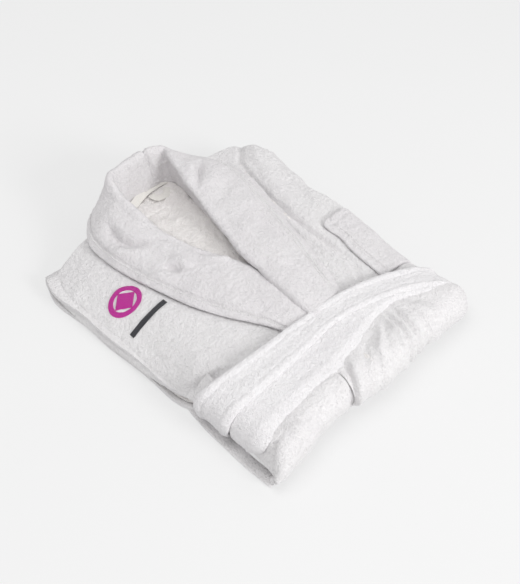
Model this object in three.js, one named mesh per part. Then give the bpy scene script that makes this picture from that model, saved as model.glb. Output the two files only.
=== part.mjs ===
// A terry bathrobe with a shawl collar, folded into a bundle and held by its own belt.
// Units are millimetres. +X runs across the robe, +Y towards its neck, +Z up.
// The origin is on the underside of the bundle, in the middle of its width and length.
// Left and right are as seen from the belt's end, looking towards the neck.
import * as THREE from "three";

// ---- driving dimensions -------------------------------------------------------------

const halfLength = 205;         // from the middle to the front fold, and to the shoulders
const halfWidth = 165;          // from the middle to each side
const rightHeight = 55;         // height of the stack along its right side and middle
const frontTerry = 5;           // thickness of a front panel, a doubled terry
const backTerry = 4;            // thickness of the back panel
const layerGap = 0.8;           // gap left between neighbouring layers
const sleeveGap = 0.8;          // gap above and below the sleeves
const leftSlope = 230;          // distance over which the left side rises to full height
const beltRise = 17;            // how much higher the left side is under the belt
const hemClearance = 65;        // from the front fold to the hem, which ends inside

const beltInset = 117;          // from the front fold to the belt's edge nearest the neck
const beltWidth = 43;
const beltThickness = 5;
const beltWrapGap = 1.5;        // gap between the two wraps
const waistInLeft = 7;          // how far the belt squeezes each side in
const waistInRight = 3;
const waistTaper = 40;          // length over which the squeeze comes in
const liftTaper = 30;           // length over which the underside rises onto the belt
const beltClearance = 8;        // from the belt to where tapers and lapels end

const lapelThickness = 7.5;
const collarOverhang = 12;      // how far the collar stands past the shoulders
const collarRiseLeft = 45;      // height of the collar's roll above the stack at the neck
const collarRiseRight = 38;
const neckHalfLeft = 42.5;      // half widths of the neck between the two rolls
const neckHalfRight = 40.5;
const collarBackThickness = 16;
const collarBackBase = 40;

const sleeveInner = 18;         // x where the two sleeves meet
const sleeveInLeft = 57;        // from the sides of the bundle to the sleeves
const sleeveInRight = 15;
const sleeveInTop = 15;         // from the shoulders to the sleeves' tops
const cuffLength = 111;
const cuffReach = 84;           // how far the cuffs run past the belt's edge

const pocketInset = 52;         // from the right side to the pocket's inner edge
const pocketWidth = 46;
const pocketLength = 99;
const pocketThickness = 3;
const pocketClearance = 2;      // from the pocket to the belt

const tapeLength = 62;
const tapeWidth = 9;
const tapeThickness = 1.6;
const tapeInset = 8;            // from the shoulders to the tape's edge
const tapeMiddle = 9;
const loopLength = 44;
const loopWidth = 15;
const loopMiddle = 6;

const emblemInset = 35;         // from the left side to the emblem's middle
const emblemY = 86;
const emblemSize = [44, 40];
const barInset = 39;
const barY = 47;
const barSize = [56, 10];
const stitchHeight = 1.2;

const beltLoopLength = 20;
const beltLoopThickness = 2;
const beltLoopHeight = 12;
const beltLoopClearance = 1.8;

// ---- sizes that follow from them ----------------------------------------------------

const leftHeight = 3 * (frontTerry + backTerry) + 5 * layerGap;
const beltHeight = leftHeight + beltRise;
const beltStart = beltInset - halfLength;
const taperEnd = beltStart + beltClearance;
const waistStart = taperEnd + waistTaper;
const liftStart = taperEnd + liftTaper;
const waistLeft = halfWidth - waistInLeft;
const waistRight = halfWidth - waistInRight;
const collarEnd = halfLength + collarOverhang;
const hemEnd = hemClearance - halfLength;
const cuffEnd = beltStart - cuffReach;
const cuffStart = cuffEnd + cuffLength;

// ---- helpers ------------------------------------------------------------------------

const lerp = (a, b, t) => a + (b - a) * t;
const clamp01 = (t) => Math.min(1, Math.max(0, t));
const ramp = (value, from, to) => clamp01((value - from) / (to - from));

// Value at a place on a line through points that are listed from the far end down.
function along(points, place) {
  for (let i = 1; i < points.length; i += 1) {
    const [p0, v0] = points[i - 1];
    const [p1, v1] = points[i];
    if (place >= p1 || i === points.length - 1) return lerp(v0, v1, (p0 - place) / (p0 - p1));
  }
  return points[0][1];
}

// Height of the top of the folded stack.
const heightTaper = 80;
function stackTop(x, y) {
  const left = lerp(beltHeight, leftHeight, ramp(y, taperEnd, taperEnd + heightTaper));
  const t = clamp01((x + halfWidth) / leftSlope);
  return left + (rightHeight - left) * (1 - (1 - t) ** 2);
}

// How far the underside is lifted to let the belt pass beneath.
const lift = (y) => (beltThickness + layerGap) * ramp(y, liftStart, taperEnd);

const leftSide = (y) => -lerp(halfWidth, waistLeft, ramp(y, waistStart, taperEnd));
const rightSide = (y) => lerp(halfWidth, waistRight, ramp(y, waistStart, taperEnd));

// A closed solid between two grids of points. skin(i, j) gives [upper, lower] points.
function solidFromSkin(name, material, rows, columns, skin) {
  const positions = [];
  const index = [];
  const count = (rows + 1) * (columns + 1);
  for (const side of [0, 1]) {
    for (let i = 0; i <= rows; i += 1) {
      for (let j = 0; j <= columns; j += 1) positions.push(...skin(i, j)[side]);
    }
  }
  const at = (side, i, j) => side * count + i * (columns + 1) + j;
  const quad = (a, b, c, d) => index.push(a, b, c, a, c, d);
  for (let i = 0; i < rows; i += 1) {
    for (let j = 0; j < columns; j += 1) {
      quad(at(0, i, j), at(0, i + 1, j), at(0, i + 1, j + 1), at(0, i, j + 1));
      quad(at(1, i, j), at(1, i, j + 1), at(1, i + 1, j + 1), at(1, i + 1, j));
    }
  }
  for (let i = 0; i < rows; i += 1) {
    quad(at(0, i, 0), at(1, i, 0), at(1, i + 1, 0), at(0, i + 1, 0));
    quad(at(0, i, columns), at(0, i + 1, columns), at(1, i + 1, columns), at(1, i, columns));
  }
  for (let j = 0; j < columns; j += 1) {
    quad(at(0, 0, j), at(0, 0, j + 1), at(1, 0, j + 1), at(1, 0, j));
    quad(at(0, rows, j), at(1, rows, j), at(1, rows, j + 1), at(0, rows, j + 1));
  }
  const geometry = new THREE.BufferGeometry();
  geometry.setAttribute("position", new THREE.Float32BufferAttribute(positions, 3));
  geometry.setIndex(facingOut(positions, index));
  geometry.computeVertexNormals();
  const mesh = new THREE.Mesh(geometry, material);
  mesh.name = name;
  return mesh;
}

// Turns every face round if the enclosed volume comes out negative.
function facingOut(positions, index) {
  const corner = (k) => new THREE.Vector3().fromArray(positions, 3 * k);
  let volume = 0;
  for (let k = 0; k < index.length; k += 3) {
    const [a, b, c] = [corner(index[k]), corner(index[k + 1]), corner(index[k + 2])];
    volume += a.dot(b.cross(c));
  }
  if (volume > 0) return index;
  const turned = [];
  for (let k = 0; k < index.length; k += 3) turned.push(index[k], index[k + 2], index[k + 1]);
  return turned;
}

// A slab over a plan whose two sides are functions of y, between two height functions.
function slab(name, material, plan) {
  const { ys, sideA, sideB, across, top, bottom } = plan;
  return solidFromSkin(name, material, ys.length - 1, across, (i, j) => {
    const y = ys[i];
    const x = lerp(sideA(y), sideB(y), j / across);
    return [[x, y, top(x, y, j / across)], [x, y, bottom(x, y, j / across)]];
  });
}

// Lengths where every layer has a row of points, so that layers keep their gaps.
const breaks = [150, 100, 50, taperEnd + heightTaper, waistStart, liftStart, taperEnd,
  beltStart - beltWidth, cuffEnd];
function stations(from, to) {
  return [from, ...breaks.filter((y) => y < from - 2 && y > to + 2), to];
}

// ---- materials ----------------------------------------------------------------------

const cloth = (color, roughness) =>
  new THREE.MeshStandardMaterial({ color, roughness, metalness: 0 });
const terry = cloth(0xf2f1ef, 0.95);
const innerTerry = cloth(0xefeae2, 0.95);
const collarTerry = cloth(0xf4f3f1, 0.95);
const beltTerry = cloth(0xf1f1f0, 0.95);
const tape = cloth(0xf6f3ea, 0.8);
const magentaThread = cloth(0xd0129a, 0.45);
const greyThread = cloth(0x2b2b30, 0.45);

// ---- body panels --------------------------------------------------------------------

// The overlap of the fronts runs from the point of the collar to this x below the belt.
const seamX = -40;
const veeEnd = beltStart - 2;
const seamEnd = beltStart - 42;
const veeLeft = -48;
const veeRight = 44;

function frontEdge(y, neckX) {
  if (y >= veeEnd) return lerp(0, neckX, ramp(y, veeEnd, halfLength));
  return lerp(0, seamX, ramp(y, veeEnd, seamEnd));
}

// Path of one layer in the YZ plane at a given x: over the top, round the front fold,
// back along the underside, round the back fold and forward again inside to the hem.
// inset is how deep the layer lies below the outer shell. Each point of the path holds
// its middle and the direction of its outer face.
const frontFoldSteps = 8;
const backFoldSteps = 4;
const layersInside = 2 * (frontTerry + backTerry) + 3 * layerGap;

function layerPath(x, inset, thickness) {
  const depth = inset + thickness / 2;
  const topMiddle = (y) => stackTop(x, y) - depth;
  const baseMiddle = (y) => lift(y) + depth;
  const innerMiddle = (y) => lift(y) + layersInside - depth;
  const frontRadius = (topMiddle(-halfLength) - baseMiddle(-halfLength)) / 2;
  const frontCentre = -halfLength + depth + frontRadius;
  const backRadius = (innerMiddle(halfLength) - baseMiddle(halfLength)) / 2;
  const backCentre = halfLength - depth - backRadius;
  const path = [];
  for (const y of stations(halfLength, frontCentre)) path.push([y, topMiddle(y), 0, 1]);
  const frontMiddle = baseMiddle(-halfLength) + frontRadius;
  for (let k = 1; k < frontFoldSteps; k += 1) {
    const angle = Math.PI * (0.5 + k / frontFoldSteps);
    const [c, s] = [Math.cos(angle), Math.sin(angle)];
    path.push([frontCentre + frontRadius * c, frontMiddle + frontRadius * s, c, s]);
  }
  for (const y of stations(backCentre, frontCentre).reverse()) {
    path.push([y, baseMiddle(y), 0, -1]);
  }
  const backMiddle = baseMiddle(halfLength) + backRadius;
  for (let k = 1; k < backFoldSteps; k += 1) {
    const angle = Math.PI * (-0.5 + k / backFoldSteps);
    const [c, s] = [Math.cos(angle), Math.sin(angle)];
    path.push([backCentre + backRadius * c, backMiddle + backRadius * s, c, s]);
  }
  for (const y of stations(backCentre, hemEnd)) path.push([y, innerMiddle(y), 0, 1]);
  return path;
}

// A folded layer between two sides. Each side is a function of y and of whether the
// point lies on the top of the stack.
function foldedLayer(name, material, inset, thickness, across, sideA, sideB) {
  const topRows = stations(halfLength, -halfLength + thickness).length;
  const rows = layerPath(0, inset, thickness).length - 1;
  return solidFromSkin(name, material, rows, across, (i, j) => {
    const isTop = i < topRows;
    const y0 = layerPath(0, inset, thickness)[i][0];
    const x = lerp(sideA(y0, isTop), sideB(y0, isTop), j / across);
    const [y, z, ny, nz] = layerPath(x, inset, thickness)[i];
    const half = thickness / 2;
    return [[x, y + ny * half, z + nz * half], [x, y - ny * half, z - nz * half]];
  });
}

function frontPanels() {
  const halfGap = layerGap / 2;
  const inner = (neckX, side) => (y, isTop) =>
    (isTop ? frontEdge(y, neckX) : seamX) + side * halfGap;
  return [
    foldedLayer("front_panel_left", terry, 0, frontTerry, 4,
      (y) => leftSide(y), inner(veeLeft, -1)),
    foldedLayer("front_panel_right", terry, 0, frontTerry, 5,
      inner(veeRight, 1), (y) => rightSide(y)),
  ];
}

const backInset = frontTerry + layerGap;
const sideInset = frontTerry;
function backPanel() {
  return foldedLayer("back_panel", innerTerry, backInset, backTerry, 8,
    (y) => leftSide(y) + sideInset, (y) => rightSide(y) - sideInset);
}

// ---- sleeves ------------------------------------------------------------------------

const coreBottom = (x, y) => lift(y) + layersInside + sleeveGap;
const coreTop = (x, y) => stackTop(x, y) - backInset - backTerry - sleeveGap;

function sleeve(name, material, from, to, sideA, sideB) {
  return slab(name, material, {
    ys: stations(from, to),
    sideA: () => sideA,
    sideB: () => sideB,
    across: 4,
    top: coreTop,
    bottom: coreBottom,
  });
}

function sleeves() {
  const half = layerGap / 2;
  const left = [sleeveInLeft - halfWidth, sleeveInner - half];
  const right = [sleeveInner + half, halfWidth - sleeveInRight];
  const sleeveTop = halfLength - sleeveInTop;
  const cuffTop = cuffStart - layerGap;
  return [
    sleeve("sleeve_left", terry, sleeveTop, cuffStart, ...left),
    sleeve("sleeve_right", terry, sleeveTop, cuffStart, ...right),
    sleeve("cuff_left", collarTerry, cuffTop, cuffEnd, ...left),
    sleeve("cuff_right", collarTerry, cuffTop, cuffEnd, ...right),
  ];
}

// ---- collar -------------------------------------------------------------------------

// Lengths on the collar are shares of the way from the belt to the collar's back end,
// and heights are above the right side of the stack.
const collarY = (share) => lerp(taperEnd, collarEnd, share);
const collarShare = (y) => ramp(y, taperEnd, collarEnd);
const lapelTop = 0.96;

// The line each lapel lifts about runs straight from the belt to the shoulder.
const lapelHinge = {
  left: { start: [-34, 9], end: [-62, 29] },
  right: { start: [44, 10], end: [62, 29] },
};
const rollEdge = {
  left: [[1, -43], [0.73, -42], [0.54, -36], [0.38, -19], [0.27, -3], [0, -1]],
  right: [[1, 41], [lapelTop, 41], [0.84, 29], [0.6, 16], [0.37, 5], [0.2, 3], [0, 3]],
};
const rollRise = {
  left: [[1, collarRiseLeft], [0.85, 35], [0.73, 25], [0.59, 17], [0.38, 13], [0, 11]],
  right: [[1, collarRiseRight], [0.84, 33], [0.6, 23], [0.37, 16], [0, 11]],
};
const outerEdge = {
  left: [[lapelTop, -104], [0.75, -109], [0.61, -105], [0.41, -94], [0.26, -75], [0.11, -51], [0, -40]],
  right: [[lapelTop, 98], [0.73, 106], [0.61, 103], [0.45, 89], [0.31, 82], [0.2, 73], [0, 53]],
};
const collarRows = [1, lapelTop, 0.84, 0.73, 0.6, 0.49, 0.38, 0.27, 0.2, 0.11, 0].map(collarY);
const lapelRows = collarRows.slice(1);

function hingeAt(side, y) {
  const { start, end } = lapelHinge[side];
  const t = collarShare(y) / lapelTop;
  return [lerp(start[0], end[0], t), rightHeight + lerp(start[1], end[1], t)];
}

const rollTop = (side, y) => rightHeight + along(rollRise[side], collarShare(y));

function collarRoll(side, outward) {
  return slab(`collar_roll_${side}`, collarTerry, {
    ys: collarRows,
    sideA: (y) => hingeAt(side, y)[0] - outward * layerGap,
    sideB: (y) => along(rollEdge[side], collarShare(y)),
    across: 2,
    top: (x, y, t) => lerp(hingeAt(side, y)[1], rollTop(side, y), t),
    bottom: (x, y) => stackTop(x, y) + layerGap,
  });
}

function lapel(side) {
  return slab(`lapel_${side}`, collarTerry, {
    ys: lapelRows,
    sideA: (y) => hingeAt(side, y)[0],
    sideB: (y) => along(outerEdge[side], collarShare(y)),
    across: 2,
    top: (x, y, t) => lapelSurface(side, y, t) + lapelThickness,
    bottom: (x, y, t) => lapelSurface(side, y, t),
  });
}

function lapelSurface(side, y, t) {
  const atHinge = hingeAt(side, y)[1] - lapelThickness;
  const atEdge = stackTop(along(outerEdge[side], collarShare(y)), y) + layerGap;
  return lerp(atHinge, atEdge, t);
}

const collarSag = 3;
const bow = (t) => Math.sin(Math.PI * t);

function collarBack() {
  const back = collarEnd + layerGap + collarBackThickness / 2;
  return slab("collar_back", collarTerry, {
    ys: [back, back - collarBackThickness],
    sideA: () => -neckHalfLeft,
    sideB: () => neckHalfRight,
    across: 4,
    top: (x, y, t) => rightHeight + lerp(collarRiseLeft, collarRiseRight, t) - collarSag * bow(t),
    bottom: () => collarBackBase,
  });
}

// ---- trim ---------------------------------------------------------------------------

const backFace = (x, y) => stackTop(x, y) - backInset + layerGap;
const frontFace = (x, y) => stackTop(x, y) + layerGap;

function trim(name, material, centre, size, across, surface, thickness) {
  return slab(name, material, {
    ys: [centre[1] + size[1] / 2, centre[1] - size[1] / 2],
    sideA: () => centre[0] - size[0] / 2,
    sideB: () => centre[0] + size[0] / 2,
    across,
    top: (x, y) => surface(x, y) + thickness,
    bottom: surface,
  });
}

function neckTrim() {
  const tapeEdge = halfLength - tapeInset;
  const tapeCentre = [tapeMiddle, tapeEdge + tapeWidth / 2];
  const loopCentre = [loopMiddle, tapeEdge - layerGap - loopWidth / 2];
  return [
    trim("neck_tape", tape, tapeCentre, [tapeLength, tapeWidth], 3, backFace, tapeThickness),
    trim("hanging_loop", tape, loopCentre, [loopLength, loopWidth], 2, backFace, tapeThickness),
  ];
}

function pocket() {
  const x = halfWidth - pocketInset + pocketWidth / 2;
  const y = beltStart + pocketClearance + pocketLength / 2;
  const size = [pocketWidth, pocketLength];
  return trim("chest_pocket", terry, [x, y], size, 2, frontFace, pocketThickness);
}

function embroidery() {
  const emblem = [emblemInset - halfWidth, emblemY];
  const bar = [barInset - halfWidth, barY];
  return [
    trim("embroidered_emblem", magentaThread, emblem, emblemSize, 3, frontFace, stitchHeight),
    trim("embroidered_bar", greyThread, bar, barSize, 3, frontFace, stitchHeight),
  ];
}

// ---- belt ---------------------------------------------------------------------------

// A wrap is a flat band bent round the waist of the bundle and closed on itself.
const wrapSteps = 8;

function beltWrap(name, from) {
  const outline = (spread) => {
    const left = -waistLeft - spread;
    const right = waistRight + spread;
    const base = lift(beltStart) - spread;
    const points = [new THREE.Vector2(left, base), new THREE.Vector2(right, base)];
    for (let k = wrapSteps; k >= 0; k -= 1) {
      const x = lerp(-waistLeft, waistRight, k / wrapSteps);
      const end = lerp(left, right, k / wrapSteps);
      points.push(new THREE.Vector2(end, stackTop(x, beltStart) + spread));
    }
    return points;
  };
  const shape = new THREE.Shape(outline(layerGap + beltThickness));
  shape.holes.push(new THREE.Path(outline(layerGap).reverse()));
  const geometry = new THREE.ExtrudeGeometry(shape, { depth: beltWidth, bevelEnabled: false });
  geometry.rotateX(Math.PI / 2);
  geometry.translate(0, from, 0);
  const mesh = new THREE.Mesh(geometry, beltTerry);
  mesh.name = name;
  return mesh;
}

function belt() {
  const second = beltStart - beltWidth - beltWrapGap;
  return [beltWrap("belt_upper_wrap", beltStart), beltWrap("belt_lower_wrap", second)];
}

// Small fabric carriers on the side seams, lying flat just clear of the belt.
function beltLoop(side, sideX, outward) {
  const end = beltStart + beltLoopClearance;
  const near = (y) => sideX(y) + outward * layerGap;
  const top = (x, y) => stackTop(x, y) - frontTerry;
  return slab(`belt_loop_${side}`, terry, {
    ys: stations(end + beltLoopLength, end),
    sideA: near,
    sideB: (y) => near(y) + outward * beltLoopThickness,
    across: 1,
    top,
    bottom: (x, y) => top(x, y) - beltLoopHeight,
  });
}

// ---- assembly -----------------------------------------------------------------------

const robe = new THREE.Group();
robe.add(backPanel(), ...frontPanels(), ...sleeves());
robe.add(collarRoll("left", -1), collarRoll("right", 1), lapel("left"), lapel("right"));
robe.add(collarBack(), ...neckTrim(), pocket(), ...embroidery(), ...belt());
robe.add(beltLoop("left", leftSide, -1), beltLoop("right", rightSide, 1));

export default robe;
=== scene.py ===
"""A folded terry bathrobe with a shawl collar, held by its own belt.

Shapes are worked out in millimetres in the CAD frame: +X across the robe, +Y towards
the neck, +Z up. Every piece is a closed sheet of cloth built from a grid of points.
"""
import math

import bpy
import numpy as np
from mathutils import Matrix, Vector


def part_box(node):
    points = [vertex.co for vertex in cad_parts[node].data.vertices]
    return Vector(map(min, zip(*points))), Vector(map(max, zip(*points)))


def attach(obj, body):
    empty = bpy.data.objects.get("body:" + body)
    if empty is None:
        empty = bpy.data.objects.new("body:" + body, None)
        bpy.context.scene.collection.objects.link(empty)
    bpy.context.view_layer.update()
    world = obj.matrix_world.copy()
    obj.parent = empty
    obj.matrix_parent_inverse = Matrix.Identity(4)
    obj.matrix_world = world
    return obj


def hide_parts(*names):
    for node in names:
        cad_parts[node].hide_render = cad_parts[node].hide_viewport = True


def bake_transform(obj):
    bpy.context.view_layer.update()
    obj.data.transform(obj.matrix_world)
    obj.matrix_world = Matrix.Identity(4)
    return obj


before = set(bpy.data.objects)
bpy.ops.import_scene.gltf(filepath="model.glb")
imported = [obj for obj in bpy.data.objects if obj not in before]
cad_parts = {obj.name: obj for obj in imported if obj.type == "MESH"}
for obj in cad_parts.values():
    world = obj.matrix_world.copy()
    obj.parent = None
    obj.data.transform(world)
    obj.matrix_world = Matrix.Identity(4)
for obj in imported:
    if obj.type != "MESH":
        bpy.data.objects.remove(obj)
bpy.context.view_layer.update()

MM = 0.001


# ---- places taken from the frame ----------------------------------------------------

def box_mm(node):
    low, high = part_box(node)
    return np.array(low) / MM, np.array(high) / MM


X_RIGHT = box_mm("front_panel_right")[1][0]
BELT_BOTTOM = box_mm("belt_upper_wrap")[0][2]


# ---- numbers and curves -------------------------------------------------------------

def lerp(a, b, t):
    return a + (b - a) * t


def smooth(value, start, end):
    t = np.clip((value - start) / (end - start), 0.0, 1.0)
    return t * t * (3 - 2 * t)


def spline(stations, values):
    """A smooth curve through values at rising stations. Values may be numbers or points."""
    s = np.asarray(stations, float)
    v = np.asarray(values, float)
    flat = v.ndim == 1
    v = v[:, None] if flat else v
    slope = np.empty_like(v)
    step = np.diff(s)[:, None]
    rise = np.diff(v, axis=0) / step
    slope[0], slope[-1] = rise[0], rise[-1]
    slope[1:-1] = (rise[:-1] * step[1:] + rise[1:] * step[:-1]) / (step[1:] + step[:-1])

    def at(place):
        place = np.asarray(place, float)
        p = np.clip(place, s[0], s[-1])
        k = np.clip(np.searchsorted(s, p, side="right") - 1, 0, len(s) - 2)
        h = s[k + 1] - s[k]
        t = (p - s[k]) / h
        t, h = t[..., None], h[..., None]
        out = ((1 + 2 * t) * (1 - t) ** 2 * v[k] + t * (1 - t) ** 2 * h * slope[k]
               + t * t * (3 - 2 * t) * v[k + 1] + t * t * (t - 1) * h * slope[k + 1])
        return out[..., 0] if flat else out

    return at


def table(xs, ys, rows):
    """A smooth height over x and y. rows holds one list over xs for each of the rising ys."""
    across = [spline(xs, row) for row in rows]

    def at(x, y):
        levels = np.stack([row(x) for row in across])
        k = np.clip(np.searchsorted(ys, y, side="right") - 1, 0, len(ys) - 2)
        s = np.asarray(ys, float)
        pick = lambda i: np.take_along_axis(levels, np.clip(i, 0, len(ys) - 1)[None], 0)[0]
        t = np.clip((y - s[k]) / (s[k + 1] - s[k]), 0.0, 1.0)
        a, b, c, d = pick(k - 1), pick(k), pick(k + 1), pick(k + 2)
        m1, m2 = (c - a) / 2, (d - b) / 2
        return ((1 + 2 * t) * (1 - t) ** 2 * b + t * (1 - t) ** 2 * m1
                + t * t * (3 - 2 * t) * c + t * t * (t - 1) * m2)

    return at


# ---- noise --------------------------------------------------------------------------

GRADIENTS = np.random.default_rng(7).normal(size=(4096, 3))
GRADIENTS /= np.linalg.norm(GRADIENTS, axis=1)[:, None]


def noise(points, size):
    """Smooth noise of about -0.6 to 0.6 whose lumps are size millimetres across."""
    p = points / size
    cell = np.floor(p).astype(np.int64)
    f = p - cell
    w = f * f * f * (f * (f * 6 - 15) + 10)
    total = np.zeros(points.shape[:-1])
    for corner in range(8):
        off = np.array([corner & 1, corner >> 1 & 1, corner >> 2 & 1])
        c = cell + off
        key = (c[..., 0] * 73856093 ^ c[..., 1] * 19349663 ^ c[..., 2] * 83492791) & 4095
        weight = np.prod(np.where(off, w, 1 - w), axis=-1)
        total += weight * np.sum(GRADIENTS[key] * (f - off), axis=-1)
    return total


def terry(points, depth=1.0):
    """The uneven loops of terry, as a height in millimetres."""
    drawn = points * np.array([0.62, 1.0, 1.0])
    lumps = noise(drawn, 5.2) * 0.9 + noise(drawn + 50, 3.1) * 1.1
    slow = noise(points + 90, 16.0) * 0.9
    return depth * (lumps + slow)


def crease(x, y, line, depth, width):
    """A groove, or a ridge where depth is negative, along a line of plan points."""
    out = np.zeros(np.broadcast(x, y).shape)
    line = np.asarray(line, float)
    lengths = np.linalg.norm(np.diff(line, axis=0), axis=1)
    total = lengths.sum()
    start = 0.0
    best = np.full(out.shape, 1e9)
    place = np.zeros(out.shape)
    for a, b, length in zip(line[:-1], line[1:], lengths):
        d = (b - a) / length
        t = np.clip((x - a[0]) * d[0] + (y - a[1]) * d[1], 0, length)
        gap = np.hypot(x - a[0] - d[0] * t, y - a[1] - d[1] * t)
        closer = gap < best
        best = np.where(closer, gap, best)
        place = np.where(closer, (start + t) / total, place)
        start += length
    fade = np.sin(np.pi * np.clip(place, 0.02, 0.98)) ** 0.6
    return -depth * np.exp(-(best / width) ** 2) * fade


# ---- cloth sheets -------------------------------------------------------------------

def runs(*parts):
    """Rising distances from 0: each part is (end, step)."""
    out = [0.0]
    for end, step in parts:
        count = max(1, round((end - out[-1]) / step))
        out.extend(np.linspace(out[-1], end, count + 1)[1:])
    return np.array(out)


def rimmed(distances, radius, steps=4):
    """Distances with extra rows near both ends, and how thick the sheet is there, 0 to 1."""
    total = distances[-1]
    arc = np.linspace(0, math.pi / 2, steps + 1)
    rim = radius * (1 - np.cos(arc))
    inside = distances[(distances > radius * 1.3) & (distances < total - radius * 1.3)]
    d = np.concatenate([rim, inside, (total - rim)[::-1]])
    swell = np.concatenate([np.sin(arc), np.ones(len(inside)), np.sin(arc)[::-1]])
    return d / total, swell


def normals_of(grid):
    along = np.gradient(grid, axis=0)
    across = np.gradient(grid, axis=1)
    n = np.cross(along, across)
    return n / np.maximum(np.linalg.norm(n, axis=2), 1e-9)[..., None]


def add_mesh(name, points, faces):
    mesh = bpy.data.meshes.new(name)
    mesh.vertices.add(len(points))
    mesh.vertices.foreach_set("co", (points * MM).ravel())
    mesh.loops.add(faces.size)
    mesh.loops.foreach_set("vertex_index", faces.ravel().astype(np.int32))
    mesh.polygons.add(len(faces))
    width = faces.shape[1]
    mesh.polygons.foreach_set("loop_start", np.arange(0, faces.size, width, dtype=np.int32))
    mesh.polygons.foreach_set("loop_total", np.full(len(faces), width, np.int32))
    mesh.polygons.foreach_set("use_smooth", np.ones(len(faces), bool))
    mesh.update()
    mesh.validate()
    obj = bpy.data.objects.new(name, mesh)
    bpy.context.scene.collection.objects.link(obj)
    return obj


class Sheet:
    """A closed sheet of cloth over a grid of points on its middle surface."""

    def __init__(self, surface, along, across, thickness, relief=None, rim=None,
                 profile=None, under=0.5):
        radius = rim or thickness / 2
        u, swell_u = rimmed(along, radius)
        v, swell_v = rimmed(across, radius)
        self.u, self.v = np.meshgrid(u, v, indexing="ij")
        middle = surface(self.u, self.v)
        normal = normals_of(middle)
        swell = swell_u[:, None] * swell_v[None, :]
        half = swell * thickness / 2
        if profile is not None:
            half = half * profile(self.u, self.v)
        rise = 0.0 if relief is None else relief(middle, self.u, self.v) * swell
        pile = terry(middle + 300) * swell * under
        self.outer = middle + normal * (half + rise)[..., None]
        self.inner = middle - normal * (half + pile)[..., None]
        self.inner[0], self.inner[-1] = self.outer[0], self.outer[-1]
        self.inner[:, 0], self.inner[:, -1] = self.outer[:, 0], self.outer[:, -1]
        self.normal = normal

    def build(self, name, flip=False):
        rows, columns = self.u.shape
        top = np.arange(rows * columns).reshape(rows, columns)
        low = np.full((rows, columns), -1)
        low[1:-1, 1:-1] = rows * columns + np.arange((rows - 2) * (columns - 2)).reshape(
            rows - 2, columns - 2)
        border = low < 0
        low[border] = top[border]
        points = np.concatenate([self.outer.reshape(-1, 3),
                                 self.inner[1:-1, 1:-1].reshape(-1, 3)])

        def quads(index, turned):
            a, b = index[:-1, :-1].ravel(), index[1:, :-1].ravel()
            c, d = index[1:, 1:].ravel(), index[:-1, 1:].ravel()
            return np.stack([a, d, c, b] if turned else [a, b, c, d], axis=1)

        faces = np.concatenate([quads(top, flip), quads(low, not flip)])
        return add_mesh(name, points, faces)

    def at(self, u, v):
        """Points and normals on the outer face at places given as shares."""
        us, vs = self.u[:, 0], self.v[0]
        i = np.clip(np.searchsorted(us, u) - 1, 0, len(us) - 2)
        j = np.clip(np.searchsorted(vs, v) - 1, 0, len(vs) - 2)
        s = ((u - us[i]) / (us[i + 1] - us[i]))[:, None]
        t = ((v - vs[j]) / (vs[j + 1] - vs[j]))[:, None]
        blend = lambda g: ((g[i, j] * (1 - s) + g[i + 1, j] * s) * (1 - t)
                           + (g[i, j + 1] * (1 - s) + g[i + 1, j + 1] * s) * t)
        return blend(self.outer), blend(self.normal)


# ---- materials ----------------------------------------------------------------------

def new_material(name):
    material = bpy.data.materials.new(name)
    material.use_nodes = True
    nodes = material.node_tree.nodes
    return material, nodes, material.node_tree.links, nodes["Principled BSDF"]


def object_coordinates(nodes):
    return nodes.new("ShaderNodeTexCoord").outputs["Object"]


def noise_node(nodes, links, coordinates, scale, detail=2.0, roughness=0.6):
    node = nodes.new("ShaderNodeTexNoise")
    node.inputs["Scale"].default_value = scale
    node.inputs["Detail"].default_value = detail
    node.inputs["Roughness"].default_value = roughness
    links.new(coordinates, node.inputs["Vector"])
    return node.outputs["Fac"]


def colour_ramp(nodes, links, factor, stops):
    ramp = nodes.new("ShaderNodeValToRGB")
    while len(ramp.color_ramp.elements) < len(stops):
        ramp.color_ramp.elements.new(0.5)
    for element, (place, colour) in zip(ramp.color_ramp.elements, stops):
        element.position = place
        element.color = (*colour, 1.0)
    links.new(factor, ramp.inputs["Fac"])
    return ramp.outputs["Color"]


def bump_node(nodes, links, height, distance, strength, below=None):
    node = nodes.new("ShaderNodeBump")
    node.inputs["Distance"].default_value = distance
    node.inputs["Strength"].default_value = strength
    links.new(height, node.inputs["Height"])
    if below is not None:
        links.new(below, node.inputs["Normal"])
    return node.outputs["Normal"]


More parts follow.
